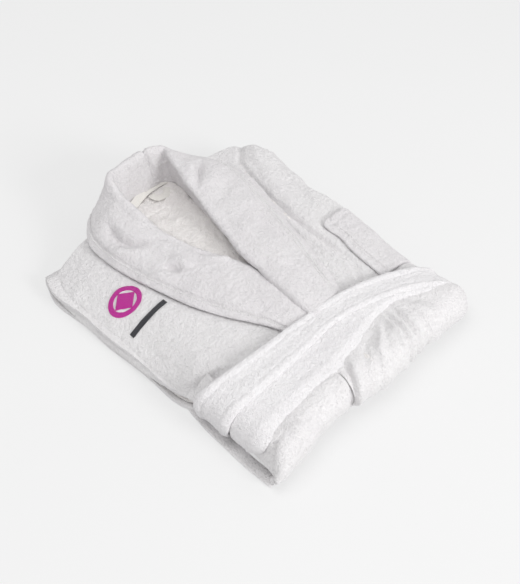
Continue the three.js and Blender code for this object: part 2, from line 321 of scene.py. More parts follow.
def terry_material(name, base, shade, fleck=1.0):
    """Looped cotton pile: short flecks of light and shade over a soft matte ground."""
    material, nodes, links, shader = new_material(name)
    place = object_coordinates(nodes)
    clumps = noise_node(nodes, links, place, 290, 3.0, 0.65)
    loops = noise_node(nodes, links, place, 700, 2.0, 0.7)
    drift = noise_node(nodes, links, place, 14, 2.0, 0.5)
    mix = nodes.new("ShaderNodeMix")
    mix.inputs["Factor"].default_value = 0.45
    links.new(clumps, mix.inputs["A"])
    links.new(loops, mix.inputs["B"])
    tone = colour_ramp(nodes, links, mix.outputs["Result"], [(0.36, shade), (0.56, base)])
    tint = colour_ramp(nodes, links, drift, [(0.35, (0.985, 0.98, 0.985)), (0.65, (1, 1, 1))])
    blend = nodes.new("ShaderNodeMix")
    blend.data_type = "RGBA"
    blend.blend_type = "MULTIPLY"
    blend.inputs["Factor"].default_value = 1.0
    links.new(tone, blend.inputs["A"])
    links.new(tint, blend.inputs["B"])
    links.new(blend.outputs["Result"], shader.inputs["Base Color"])
    first = bump_node(nodes, links, clumps, 0.0025 * fleck, 1.0)
    second = bump_node(nodes, links, loops, 0.0011 * fleck, 1.0, first)
    links.new(second, shader.inputs["Normal"])
    shader.inputs["Roughness"].default_value = 0.95
    shader.inputs["Specular IOR Level"].default_value = 0.15
    shader.inputs["Sheen Weight"].default_value = 0.25
    shader.inputs["Sheen Roughness"].default_value = 0.55
    return material


def woven_material(name, base, shade):
    """Flat woven tape: fine ribs across its length."""
    material, nodes, links, shader = new_material(name)
    place = object_coordinates(nodes)
    wave = nodes.new("ShaderNodeTexWave")
    wave.inputs["Scale"].default_value = 480
    wave.inputs["Distortion"].default_value = 1.2
    links.new(place, wave.inputs["Vector"])
    tone = colour_ramp(nodes, links, wave.outputs["Fac"], [(0.2, shade), (0.8, base)])
    links.new(tone, shader.inputs["Base Color"])
    links.new(bump_node(nodes, links, wave.outputs["Fac"], 0.0004, 0.6), shader.inputs["Normal"])
    shader.inputs["Roughness"].default_value = 0.8
    shader.inputs["Specular IOR Level"].default_value = 0.25
    return material


def thread_material(name, base, shade, direction="X"):
    """Satin stitching: shiny parallel threads."""
    material, nodes, links, shader = new_material(name)
    place = object_coordinates(nodes)
    wave = nodes.new("ShaderNodeTexWave")
    wave.bands_direction = direction
    wave.inputs["Scale"].default_value = 700
    wave.inputs["Distortion"].default_value = 2.5
    wave.inputs["Detail"].default_value = 1.0
    links.new(place, wave.inputs["Vector"])
    tone = colour_ramp(nodes, links, wave.outputs["Fac"], [(0.1, shade), (0.75, base)])
    links.new(tone, shader.inputs["Base Color"])
    links.new(bump_node(nodes, links, wave.outputs["Fac"], 0.0004, 0.8), shader.inputs["Normal"])
    shader.inputs["Roughness"].default_value = 0.42
    shader.inputs["Sheen Weight"].default_value = 0.2
    return material


BODY = terry_material("terry_body", (0.845, 0.83, 0.835), (0.775, 0.76, 0.765))
# A darker copy of the body terry: painted shade, worn by the collar halves, the pocket and the
# cuffs.
SHADED_TERRY = terry_material("terry_collar", (0.785, 0.765, 0.775), (0.715, 0.695, 0.705), 0.9)
INNER = terry_material("terry_inner", (0.93, 0.90, 0.885), (0.85, 0.82, 0.80), 1.1)
BELT = terry_material("terry_belt", (0.885, 0.87, 0.88), (0.82, 0.805, 0.815))
TAPE = woven_material("woven_tape", (0.86, 0.84, 0.80), (0.76, 0.74, 0.70))
STITCH = woven_material("stitch_thread", (0.84, 0.83, 0.83), (0.74, 0.73, 0.73))
MAGENTA = thread_material("thread_magenta", (0.72, 0.02, 0.42), (0.50, 0.008, 0.28))
GREY = thread_material("thread_grey", (0.045, 0.045, 0.055), (0.02, 0.02, 0.025))


def finish_piece(obj, material, body="robe", nodes=()):
    obj.data.materials.append(material)
    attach(obj, body)
    if nodes:
        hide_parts(*nodes)
    return obj


# ---- floor, light and camera --------------------------------------------------------

def studio():
    size = 6.0
    mesh = bpy.data.meshes.new("floor")
    corners = [(-size, -size, 0), (size, -size, 0), (size, size, 0), (-size, size, 0)]
    mesh.from_pydata(corners, [], [(0, 1, 2, 3)])
    floor = bpy.data.objects.new("floor", mesh)
    bpy.context.scene.collection.objects.link(floor)
    material, nodes, links, shader = new_material("floor")
    place = object_coordinates(nodes)
    tone = colour_ramp(nodes, links, noise_node(nodes, links, place, 3.0),
                       [(0.3, (0.34, 0.34, 0.34)), (0.7, (0.345, 0.345, 0.345))])
    links.new(tone, shader.inputs["Base Color"])
    # The floor glows by itself, painted light: it stays evenly bright, the shadows cast on it stay
    # faint, and its glow lights the robe's lower sides.
    shader.inputs["Emission Color"].default_value = (1, 1, 1, 1)
    shader.inputs["Emission Strength"].default_value = 0.515
    shader.inputs["Roughness"].default_value = 0.9
    shader.inputs["Specular IOR Level"].default_value = 0.1
    floor.data.materials.append(material)

    world = bpy.data.worlds.new("studio")
    bpy.context.scene.world = world
    world.use_nodes = True
    world.node_tree.nodes["Background"].inputs["Color"].default_value = (1, 1, 1, 1)
    world.node_tree.nodes["Background"].inputs["Strength"].default_value = 0.63

    def lamp(name, place, target, energy, size):
        light = bpy.data.lights.new(name, "AREA")
        light.energy, light.size = energy, size
        obj = bpy.data.objects.new(name, light)
        bpy.context.scene.collection.objects.link(obj)
        obj.location = place
        aim(obj, target)

    lamp("key", (0.3, -2.3, 1.25), (0.02, -0.05, 0.03), 32, 0.8)
    lamp("top", (-0.45, 0.1, 2.4), (0, 0, 0.03), 18, 1.6)


def aim(obj, target):
    from mathutils import Vector
    obj.rotation_euler = (Vector(target) - obj.location).to_track_quat("-Z", "Y").to_euler()


def photo_camera():
    azimuth, elevation = math.radians(-43.5), math.radians(47)
    distance, target = 1.25, (0.0, -0.007, 0.03)
    camera = bpy.data.cameras.new("camera")
    camera.lens, camera.sensor_width = 65, 36
    obj = bpy.data.objects.new("camera", camera)
    bpy.context.scene.collection.objects.link(obj)
    obj.location = (target[0] + distance * math.sin(azimuth) * math.cos(elevation),
                    target[1] - distance * math.cos(azimuth) * math.cos(elevation),
                    target[2] + distance * math.sin(elevation))
    aim(obj, target)
    bpy.context.scene.camera = obj


photo_camera()
studio()
bpy.context.scene.view_settings.view_transform = "Standard"


# ---- the folded body panels ---------------------------------------------------------

# Height of the top of the folded robe inside its edges.
top_inside = table(
    [-150, -100, -50, 0, 50, 100, 150],
    [-200, -178, -150, -110, -88, -50, 50, 150, 205],
    [[48, 52, 54, 55, 57, 56, 52],
     [52, 56, 58, 59, 61, 60, 55],
     [43, 50, 53, 55, 57.5, 57, 52],
     [42, 49, 51, 52, 52, 51, 47],
     [43, 49, 52, 53, 53, 53, 50],
     [41, 49, 52, 53, 54, 56, 55],
     [36, 45, 50, 51, 53, 57, 58],
     [33, 42, 48, 49, 51, 56, 60],
     [26, 37, 44, 46, 49, 51, 52]])

# The outline of the top layer, its edge heights and how far in the edges round off.
left_edge = spline([-205, -186, -146, -113, -84, -49, 0, 68, 130, 185, 205],
                   [-160, -158, -156, -155, -155, -157, -164, -168, -170, -167, -160])
left_edge_height = spline([-200, -160, -110, -60, 0, 205], [12, 20, 24, 16, 8, 8])
left_round = spline([-200, -110, -60, 0, 205], [24, 22, 30, 56, 58])
right_edge = spline([-205, -150, -90, -15, 12, 30, 51, 75, 104, 132, 160, 176, 190, 205],
                    [171, 166, 158, 161, 163, 165, 163, 161, 166, 169, 174, 176, 168, 150])
right_edge_height = spline([-200, -110, -50, 60, 205], [24, 26, 32, 34, 30])
right_round = spline([-200, -110, -50, 60, 205], [28, 20, 15, 15, 20])
bottom_left = spline([-205, -195, -180, -90, -75, -52, 0, 100, 190, 205],
                     [-165, -163, -147, -146, -150, -161, -166, -169.5, -169, -162])
front_fold = spline([-166, -158, -135, -112, -77, -50, -19, 13, 47, 75, 108, 145, 172],
                    [-204, -209, -208, -205, -198, -195, -201, -203, -200, -195, -197, -195, -186])
shoulder = spline([-170, -148, -120, -60, 0, 60, 110, 140, 170],
                  [186, 193, 199, 203, 203, 203, 203, 196, 176])


def lift(y):
    """The belt passes under the front of the bundle, which lies on it."""
    return BELT_BOTTOM + 5.9 * smooth(-y, 50, 80)


class Layer:
    """One layer of the folded body, from the shoulders round to the hem inside.

    depth is how far the layer's middle lies below the bundle's outer face. The path runs
    over the top (w 0 to 1), round the front fold (1 to 2), back underneath (2 to 3),
    round the back fold (3 to 4) and forward inside (4 to 5).
    """

    STACK_IN = 20.4
    LENGTHS = (385.0, 62.0, 360.0, 22.0, 300.0)

    def __init__(self, depth, side_in):
        self.depth, self.side_in = depth, side_in
        self.marks = np.concatenate([[0.0], np.cumsum(self.LENGTHS)])

    def sides(self, y, w):
        below = smooth(w, 1.0, 1.6)
        left = lerp(left_edge(y), bottom_left(y) + 1.2 * np.sin(y / 17), below)
        right = lerp(right_edge(y), np.full_like(y, X_RIGHT - 1.5) + 2 * np.sin(y / 37 + 1), below)
        right = lerp(right, 161 + 0 * y, smooth(-y, 55, 85) * below)
        return left + self.side_in, right - self.side_in

    def top(self, x, y, left, right):
        inside = top_inside(x, y)
        sink_left = np.clip((x - left) / left_round(y), 0, 1)
        sink_right = np.clip((right - x) / right_round(y), 0, 1)
        round_left = np.sqrt(np.maximum(1 - (1 - sink_left) ** 2, 0))
        round_right = np.sqrt(np.maximum(1 - (1 - sink_right) ** 2, 0))
        low_left = left_edge_height(y) + 3.0
        low_right = right_edge_height(y) + 3.0
        z = low_left + (inside - low_left) * round_left
        return low_right + (z - low_right) * round_right - self.depth

    def point(self, along, x_of):
        """along is the distance in millimetres, x_of(y, w, left, right) the place across."""
        w = np.interp(along, self.marks, np.arange(6.0))
        part = np.clip(np.floor(w), 0, 4)
        t = w - part
        nominal = np.select([part == 0, part == 1, part == 2, part == 3],
                            [lerp(203, -182, t), -205 + 0 * t, lerp(-182, 196, t), 200 + 0 * t],
                            lerp(196, -140, t))
        left, right = self.sides(nominal, w)
        x = x_of(nominal, w, left, right)
        fold_y = front_fold(x) + self.depth
        at_fold = self.top(x, fold_y + 24, left, right)
        base = lift(fold_y) + self.depth
        radius = np.maximum((at_fold - base) / 2, 2.0)
        centre = fold_y + np.minimum(radius, 26)
        back_base = self.depth + BELT_BOTTOM
        inner = self.STACK_IN - self.depth
        back_radius = (inner - back_base) / 2
        back_centre = 200 + 2 * np.sin(x / 40) - self.depth - back_radius
        end = shoulder(x)
        y_top = lerp(end, centre, t)
        y_low = lerp(centre, back_centre, t)
        y_in = lerp(back_centre, -140 + 3 * np.sin(x / 30), t)
        fold_angle, back_angle = np.pi * t, np.pi * t
        y = np.select(
            [part == 0, part == 1, part == 2, part == 3],
            [y_top, centre - (centre - fold_y) * np.sin(fold_angle), y_low,
             back_centre + back_radius * np.sin(back_angle)], y_in)
        z = np.select(
            [part == 0, part == 1, part == 2, part == 3],
            [self.top(x, y_top, left, right), base + radius + radius * np.cos(fold_angle),
             lift(y_low) + self.depth,
             back_base + back_radius - back_radius * np.cos(back_angle)],
            lift(y_in) + inner)
        return np.stack([x, y, z], axis=-1)


def across_to_x(q, edge, middle, radius):
    """Distance q from an edge, along the rounded cross-section, turned into x."""
    direction = np.sign(middle - edge)
    arc = radius * math.pi / 2
    on_arc = radius * (1 - np.cos(np.clip(q / radius, 0, math.pi / 2)))
    return edge + direction * np.where(q < arc, on_arc, radius + q - arc)


def body_relief(middle, u, v):
    """Creases, gathers and the pile of the front panels."""
    x, y, z = middle[..., 0], middle[..., 1], middle[..., 2]
    upper = smooth(z, 14, 26)
    out = terry(middle, 0.8)
    wide = noise(middle * np.array([1, 0.45, 1]), 46) * 3.2 + noise(middle + 400, 24) * 1.2
    out = out + wide * upper
    lines = [
        # the dark crease in the skirt and the folds on either side of it
        ([(-24, -166), (-30, -178), (-37, -192), (-50, -207), (-58, -212)], 9.5, 3.2),
        ([(-14, -160), (-22, -178), (-30, -194), (-40, -208)], -4.0, 5.5),
        ([(-36, -168), (-46, -184), (-62, -204)], -3.0, 6.0),
        # gathers below the belt, fanning out from one place
        ([(58, -146), (50, -172), (38, -207)], -4.2, 3.4),
        ([(62, -146), (56, -176), (46, -208)], 4.2, 2.6),
        ([(66, -148), (61, -182), (53, -209)], -3.6, 2.8),
        ([(71, -148), (67, -180), (61, -208)], 3.8, 2.6),
        ([(77, -150), (74, -182), (69, -207)], -3.2, 3.0),
        ([(84, -150), (88, -178), (86, -205)], 3.4, 3.0),
        ([(92, -152), (100, -178), (102, -204)], -2.4, 5.0),
        ([(104, -156), (116, -178), (118, -202)], 2.0, 5.0),
        ([(50, -150), (32, -168), (16, -180), (-2, -212)], -3.4, 3.2),
        ([(46, -156), (30, -180), (22, -208)], 2.4, 4.0),
        ([(40, -152), (8, -166), (-16, -190), (-28, -209)], 2.0, 4.0),
        ([(112, -158), (128, -178), (134, -200)], 1.6, 6.0),
        ([(-84, -180), (-92, -192), (-98, -208)], 2.6, 7.0),
        ([(-112, -182), (-122, -190), (-130, -196)], -3.0, 8.0),
        # the valley beside the right lapel and the layer that overlaps it
        ([(164, 202), (146, 184), (124, 163), (113, 130), (106, 98), (98, 40), (97, -18),
          (99, -60), (80, -110)], 7.0, 4.2),
        ([(106, 130), (98, 92), (90, 36), (89, -18), (90, -60), (71, -110)], -2.8, 5.0),
        ([(170, 186), (156, 168), (142, 144), (128, 108), (114, 50), (110, -10)], -4.0, 9.0),
        ([(164, 150), (154, 120), (142, 80), (130, 40)], 2.6, 9.0),
        # soft hollows on the left chest
        ([(-150, 40), (-120, 0), (-100, -60)], 1.4, 18.0),
        ([(-140, -30), (-110, -70)], -1.8, 14.0),
        ([(-162, -54), (-142, -70), (-116, -82)], 5.0, 4.5),
        ([(-166, -68), (-154, -79), (-140, -87)], -3.0, 4.0),
        ([(-158, -44), (-136, -58), (-104, -74)], -2.0, 8.0),
    ]
    for line, depth, width in lines:
        out = out + crease(x, y, line, depth, width) * upper
    return out


FRONT = 5.4
BACK = 4.0


def front_panel(name, side):
    layer = Layer(FRONT / 2, 0.0)
    nominal = 176.0 if side == "left" else 214.0

    def surface(u, v):
        along = u * layer.marks[-1]

        def place(y, w, left, right):
            top = w < 1
            vee = smooth(y, -88, 205)
            if side == "left":
                inner = np.where(top, lerp(-4, -40, vee), -38.0)
                edge, radius = left, lerp(left_round(y), 8.0, smooth(w, 0.95, 1.3))
            else:
                inner = np.where(top, lerp(0, 40, vee), -37.0)
                edge, radius = right, lerp(right_round(y), 8.0, smooth(w, 0.95, 1.3))
            inner = np.where(w < 1, lerp(inner, -38, smooth(-y, 90, 130)), inner)
            arc = radius * math.pi / 2
            length = np.abs(inner - edge) - radius + arc
            share = v if side == "left" else 1 - v
            return across_to_x(share * length, edge, inner, radius)

        return layer.point(along, place)

    fine = 1.75
    sheet = Sheet(surface, runs((layer.marks[2], fine), (layer.marks[5], 9.0)),
                  runs((nominal, fine)), FRONT, body_relief)
    return sheet.build(name)


finish_piece(front_panel("front_left", "left"), BODY, nodes=["front_panel_left"])
finish_piece(front_panel("front_right", "right"), BODY, nodes=["front_panel_right"])


def back_relief(middle, u, v):
    x, y = middle[..., 0], middle[..., 1]
    out = terry(middle, 2.0) + noise(middle, 30) * 2.6
    out = out + crease(x, y, [(-14, 60), (4, 40), (14, 20)], 3.0, 6.0)
    out = out + crease(x, y, [(-30, 170), (0, 150), (30, 160)], 1.6, 10.0)
    return out


def back_panel():
    layer = Layer(FRONT + 0.6 + BACK / 2, 5.0)

    def surface(u, v):
        def place(y, w, left, right):
            return lerp(left, right, v)
        points = layer.point(u * layer.marks[-1], place)
        x, y, z = points[..., 0], points[..., 1], points[..., 2]
        vee = smooth(y, -88, 205)
        gap = np.minimum(x + lerp(2, 38, vee), lerp(6, 46, vee) - x)
        points[..., 2] = z + 8.5 * smooth(gap, -3, 9) * smooth(z, 30, 36)
        return points

    along = runs((layer.marks[1] * 0.78, 2.4), (layer.marks[2], 5.0), (layer.marks[5], 10.0))
    sheet = Sheet(surface, along, runs((90, 5.0), (225, 2.4), (316, 5.0)), BACK, back_relief)
    return sheet.build("back_inside")


finish_piece(back_panel(), INNER, nodes=["back_panel"])


# ---- the shawl collar ---------------------------------------------------------------

COLLAR_THICK = 7.0


def loft(stations, along, across, thickness, relief, across_shares, **options):
    """A sheet through rows of points: stations maps a distance share to one row each."""
    places = [place for place, _ in stations]
    rows = np.array([row for _, row in stations], float)
    count = rows.shape[1]
    tracks = spline(places, rows.reshape(len(rows), -1))

    def surface(u, v):
        row = tracks(u[:, 0]).reshape(len(u), count, 3)
        section = spline(across_shares, np.swapaxes(row, 0, 1).reshape(count, -1))
        points = section(v[0]).reshape(v.shape[1], len(u), 3)
        return np.swapaxes(points, 0, 1)

    return Sheet(surface, along, across, thickness, relief, **options)


def section(outer, ridge, neck, swell=5.0, roll=6.0, sag=0.0):
    """Seven points from the outer edge over the ridge and down to the neck seam."""
    outer, ridge, neck = (np.array(p, float) for p in (outer, ridge, neck))
    up = np.array([0, 0, 1.0])
    full = max(swell, 0.0) / 5.0
    first = lerp(outer, ridge, 0.28) + up * (swell * 0.9 + 0.1 * full * (ridge[2] - outer[2]))
    second = lerp(outer, ridge, 0.58) + up * (swell * 1.05 - sag)
    third = lerp(outer, ridge, 0.85) + up * swell * 0.75
    inward = neck - ridge
    inward[2] = 0
    inward /= max(np.linalg.norm(inward), 1e-6)
    turned = ridge + inward * roll * 0.75 - up * roll * 1.1
    return [outer, first, second, third, ridge, turned, neck]


SHARES = [0.0, 0.2, 0.42, 0.62, 0.74, 0.84, 1.0]


def thinner_edge(u, v):
    return lerp(0.68, 1.0, smooth(v, 0.0, 0.2))


def collar_left():
    stations = [
        (0.00, section((2.5, 235, 44), (2.5, 222, 96), (2.5, 206, 49), -4, 6)),
        (0.07, section((-36, 232, 44), (-25, 221, 96), (-24, 204, 49), -5, 6)),
        (0.13, section((-66, 224, 45), (-43, 216, 97), (-36, 196, 49), -6, 5)),
        (0.20, section((-90, 208, 45), (-48, 199, 88), (-40, 183, 49), -4, 6)),
        (0.28, section((-106, 182, 43.2), (-48, 174, 80), (-38, 164, 50), 1, 6)),
        (0.38, section((-109, 142, 44), (-46, 135, 70), (-34, 132, 50), 4, 6)),
        (0.49, section((-105, 100, 47), (-40, 98, 66), (-28, 95, 52), 4, 5)),
        (0.60, section((-95, 50, 50), (-27, 62, 64), (-16, 60, 53), 4, 4)),
        (0.70, section((-86, 12, 53), (-14, 34, 63), (-4, 34, 54), 4, 4)),
        (0.80, section((-69, -28, 54.8), (-4, 2, 61.5), (5, 0, 56), 3.5, 3)),
        (0.90, section((-48, -64, 55), (-2, -46, 60.5), (6, -48, 57), 3, 2)),
        (1.00, section((-34, -96, 53.5), (-3, -96, 57), (4, -96, 55), 1, 2)),
    ]

    def relief(middle, u, v):
        x, y = middle[..., 0], middle[..., 1]
        top = smooth(v, 0.8, 0.7)
        out = terry(middle, 0.8)
        out = out + (noise(middle + 700, 38) * 2.6 + noise(middle + 800, 20) * 1.3)
        lines = [
            ([(-80, 178), (-84, 160), (-86, 146), (-80, 132), (-66, 120)], 8.0, 4.6),
            ([(-70, 176), (-73, 156), (-70, 138), (-56, 122)], -3.4, 6.0),
            ([(-97, 160), (-96, 140), (-84, 120), (-70, 108)], -3.0, 7.0),
            ([(-60, 176), (-57, 150), (-50, 126)], 2.6, 5.0),
            ([(-76, 80), (-68, 68), (-63, 58)], 7.5, 4.2),
            ([(-60, 84), (-54, 70), (-52, 50)], -4.0, 6.5),
            ([(-80, 92), (-82, 70), (-74, 50)], -2.0, 8.0),
            ([(-52, 118), (-42, 96), (-33, 76), (-30, 66)], 3.2, 3.6),
            ([(-44, 112), (-33, 84), (-24, 66)], -2.6, 4.4),
            ([(-34, 70), (-24, 50), (-10, 40)], 4.0, 2.6),
            ([(-28, 70), (-16, 60), (-5, 46)], 3.0, 2.6),
            ([(-24, 62), (-15, 52), (-8, 46)], -2.6, 3.6),
            ([(-34, 54), (-24, 40), (-10, 30)], -2.6, 4.4),
            ([(-30, 30), (-50, 0), (-60, -30)], -2.0, 14.0),
            ([(-16, 14), (-30, -20), (-30, -60)], 1.6, 9.0),
        ]
        for line, depth, width in lines:
            out = out + crease(x, y, line, depth, width) * top
        hem = np.exp(-((v - 0.105) / 0.012) ** 2)
        return out - 1.6 * hem * smooth(u, 0.05, 0.15)

    # how far each place on the collar is from its belt end, in millimetres
    along = runs((410, 1.9))
    across = runs((128, 1.9))
    return loft(stations, along, across, COLLAR_THICK, relief, SHARES, profile=thinner_edge)


def collar_right():
    stations = [
        (0.00, section((50, -98, 55), (0, -98, 60), (8, -96, 57), 2, 3)),
        (0.09, section((61, -58, 59), (0, -62, 65), (11, -60, 57), 4, 4)),
        (0.19, section((73, -19, 60), (1, -22, 68), (13, -22, 57), 5, 5)),
        (0.31, section((85, 32, 61), (3, 29, 72), (18, 28, 56), 6, 6)),
        (0.40, section((95, 68, 62), (9, 63, 76), (25, 62, 54), 6, 7)),
        (0.49, section((104, 102, 62), (15, 98, 80), (28, 98, 52), 6, 7)),
        (0.59, section((107, 137, 62), (23, 136, 85), (34, 134, 51), 6, 7)),
        (0.68, section((104, 162, 60), (30, 168, 90), (40, 163, 50), 5, 7)),
        (0.77, section((97, 187, 54), (38, 197, 93), (42, 184, 49), 2, 7)),
        (0.86, section((80, 210, 48), (41, 215, 94), (38, 198, 49), -2, 6)),
        (0.93, section((42, 230, 45), (24, 222, 96), (24, 205, 49), -4, 6)),
        (1.00, section((-2.5, 235, 44), (-2.5, 222, 96), (-2.5, 206, 49), -4, 6)),
    ]

    def relief(middle, u, v):
        x, y = middle[..., 0], middle[..., 1]
        top = smooth(v, 0.8, 0.7)
        out = terry(middle, 0.8)
        out = out + noise(middle + 1700, 40) * 3.2 + noise(middle + 1800, 21) * 1.4
        lines = [
            ([(66, 172), (54, 160), (42, 147), (28, 135)], 7.0, 3.8),
            ([(50, 178), (38, 162), (24, 148)], -3.2, 6.5),
            ([(70, 152), (58, 140), (40, 124)], -3.4, 8.0),
            ([(96, 178), (100, 150), (98, 120)], 2.2, 8.0),
            ([(60, 120), (46, 108), (30, 100)], 2.4, 7.0),
            ([(20, 60), (32, 20), (34, -30)], -2.4, 12.0),
            ([(58, 92), (54, 50), (50, 0), (42, -60)], 2.4, 10.0),
            ([(24, 90), (18, 60), (14, 30)], 2.4, 7.0),
            ([(76, 80), (70, 30), (58, -30)], -2.0, 9.0),
            ([(22, -10), (26, -40), (24, -80)], 1.8, 6.0),
        ]
        for line, depth, width in lines:
            out = out + crease(x, y, line, depth, width) * top
        hem = np.exp(-((v - 0.10) / 0.012) ** 2) + 0.8 * np.exp(-((v - 0.155) / 0.01) ** 2)
        pleat = np.exp(-((x - 17 - (88 - middle[..., 2]) * 0.12) / 2.2) ** 2)
        pleat = pleat * smooth(middle[..., 2], 60, 78) * smooth(y, 205, 212) * (v > 0.7)
        return out - 1.2 * hem * smooth(u, 0.95, 0.85) - 4.5 * pleat

    along = runs((400, 1.9))
    across = runs((134, 1.9))
    return loft(stations, along, across, COLLAR_THICK, relief, SHARES, profile=thinner_edge)


LEFT_COLLAR = collar_left()
RIGHT_COLLAR = collar_right()


def collar_piece(sheet, name, nodes):
    obj = sheet.build(name)
    # The collar halves wear the darker terry, with its painted shade.
    obj.data.materials.append(SHADED_TERRY)
    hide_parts(*nodes)
    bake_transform(obj)
    return obj


collar_piece(LEFT_COLLAR, "collar_left_half",
             ["collar_roll_left", "lapel_left", "collar_back"])
collar_piece(RIGHT_COLLAR, "collar_right_half",
             ["collar_roll_right", "lapel_right"])


# ---- the belt -----------------------------------------------------------------------

BELT_THICK = 5.2


def ring(rows):
    """Places round the belt as (x, z, y of the front edge, y of the back edge)."""
    rows = np.array(rows, float)
    steps = np.hypot(*np.diff(rows[:, :2], axis=0).T)
    s = np.concatenate([[0], np.cumsum(steps)])
    return spline(s / s[-1], rows), s[-1]


def belt_wrap(rows, crown, step_u, step_v, relief, edge=0.8):
    track, length = ring(rows)

    def surface(u, v):
        row = track(u)
        x, z, low, high = (row[..., i] for i in range(4))
        turn = np.gradient(row[:, 0, 0]), np.gradient(row[:, 0, 1])
        size = np.hypot(*turn)
        out_x, out_z = (-turn[1] / size)[:, None], (turn[0] / size)[:, None]
        bulge = crown(v) * smooth(z, 4, 20)
        return np.stack([x + out_x * bulge, lerp(low, high, v), z + out_z * bulge], axis=-1)

    width = np.mean([row[3] - row[2] for row in rows])
    return Sheet(surface, runs((length, step_u)), runs((width, step_v)), BELT_THICK, relief,
                 profile=lambda u, v: lerp(edge, 1.0, smooth(v, 0.0, 0.25)))


def belt_upper():
    rows = [(0, 2.7, -131, -88), (-75, 2.7, -131, -88), (-130, 2.7, -129, -88),
            (-146, 4.2, -126, -88), (-155, 9, -124, -86), (-162, 18, -127, -82),
            (-165, 30, -131, -79), (-162, 43, -132, -80), (-151, 53, -132, -84),
            (-130, 58, -132, -87),
            (-100, 60, -131, -88.5), (-50, 60.5, -127, -89), (0, 60.5, -121, -90),
            (43, 61, -124, -93), (80, 60.5, -134, -100), (116, 58.5, -147, -111),
            (143, 54.5, -161, -122), (158, 46, -168, -129), (165.5, 32, -169, -130),
            (165, 16, -163, -123), (157, 5, -153, -112), (142, 2.6, -144, -102),
            (70, 2.6, -132, -90), (2, 2.6, -131, -88)]

    def crown(v):
        return (1.0 * np.exp(-((v - 0.18) / 0.12) ** 2) + 1.7 * np.exp(-((v - 0.88) / 0.12) ** 2)
                - 0.8 * np.exp(-((v - 0.6) / 0.16) ** 2) - 1.6 * np.exp(-(v / 0.07) ** 2))

    def relief(middle, u, v):
        out = terry(middle, 0.5) + noise(middle * np.array([0.4, 1, 1]) + 60, 13) * 1.1
        wave = 0.05 * np.sin(u * 46) + 0.02 * np.sin(u * 101 + 1)
        out = out - 1.5 * np.exp(-((v - 0.78 - 0.4 * wave) / 0.035) ** 2)
        return out - 1.0 * np.exp(-((v - 0.24 + 0.3 * wave) / 0.035) ** 2)

    return belt_wrap(rows, crown, 2.0, 1.6, relief)


def belt_lower():
    rows = [(0, 2.7, -172, -133), (-75, 2.7, -172, -133), (-126, 2.7, -164, -133),
            (-140, 4.6, -158, -133), (-150, 10, -158, -133), (-157, 18, -164, -133),
            (-160, 27, -172, -131), (-157.5, 40, -178, -128), (-147, 50, -178, -125),
            (-127, 54.5, -175, -124),
            (-85, 56.5, -171.5, -123), (-34, 57.5, -168, -121), (7, 57.5, -159, -118),
            (34, 57.5, -150, -116), (58, 58, -143, -119), (80, 58, -142, -124),
            (116, 56, -155, -135), (143, 51, -170, -149), (156, 42, -177, -156),
            (162, 29, -178, -160), (161, 15, -176, -152), (153, 4.5, -174, -142),
            (138, 2.6, -173, -134), (70, 2.6, -172, -133), (2, 2.6, -172, -133)]

    def crown(v):
        return 0.7 * np.exp(-((v - 0.3) / 0.18) ** 2) - 3.0 * np.exp(-(v / 0.2) ** 2)

    def relief(middle, u, v):
        out = terry(middle, 0.55) + noise(middle * np.array([0.5, 1, 1]) + 160, 15) * 1.6
        return out - 0.8 * np.exp(-((v - 0.22) / 0.03) ** 2)

    return belt_wrap(rows, crown, 2.0, 1.6, relief, edge=0.4)


finish_piece(belt_upper().build("belt_upper"), BELT, "belt", ["belt_upper_wrap"])
finish_piece(belt_lower().build("belt_lower"), BELT, "belt", ["belt_lower_wrap"])

# ---- sleeves, folded flat inside ----------------------------------------------------

def tube(low_x, high_x, low_y, high_y, wall, swell):
    """A flattened sleeve: cloth all round, lying between the back panel's layers."""
    base = Layer.STACK_IN + 1.2

    def surface(u, v):
        turn = u * 2 * np.pi
        y = lerp(low_y, high_y, v)
        half = (high_x - low_x - wall) / 2
        middle = (low_x + high_x) / 2
        side = np.sign(-np.sin(turn)) * np.abs(np.sin(turn)) ** 0.35
        x = middle + half * side
        top = top_inside(np.clip(x, -150, 150), y) - FRONT - BACK - 2.2 - wall / 2 - swell
        low = base + lift(y) + wall / 2 + swell
        rise = np.sign(-np.cos(turn)) * np.abs(np.cos(turn)) ** 0.5
        return np.stack([x, y, lerp(low, top, (rise + 1) / 2)], axis=-1)

    def relief(middle, u, v):
        return terry(middle, 0.4) + noise(middle * np.array([1, 0.5, 1]) + 30, 26) * 0.8

    around = runs((2 * (high_x - low_x) + 44, 3.6))
    return Sheet(surface, around, runs((high_y - low_y, 3.6)), wall, relief)


# The cuffs wear the darker terry, with its painted shade.
SLEEVES = [("sleeve_left", -108.0, 17.6, -61.0, 190.0, 4.0, 0.6, BODY, "terry_body"),
           ("sleeve_right", 18.4, 150.0, -61.0, 190.0, 4.0, 0.6, BODY, "terry_body"),
           ("cuff_left", -108.0, 17.6, -172.0, -61.8, 4.6, 0.0, SHADED_TERRY, "terry_collar"),
           ("cuff_right", 18.4, 150.0, -172.0, -61.8, 4.6, 0.0, SHADED_TERRY, "terry_collar")]

for name, x0, x1, y0, y1, wall, swell, material, slot in SLEEVES:
    piece = tube(x0, x1, y0, y1, wall, swell).build(name + "_tube")
    finish_piece(piece, material, nodes=[name])


# ---- tape, loop, pocket and embroidery ----------------------------------------------

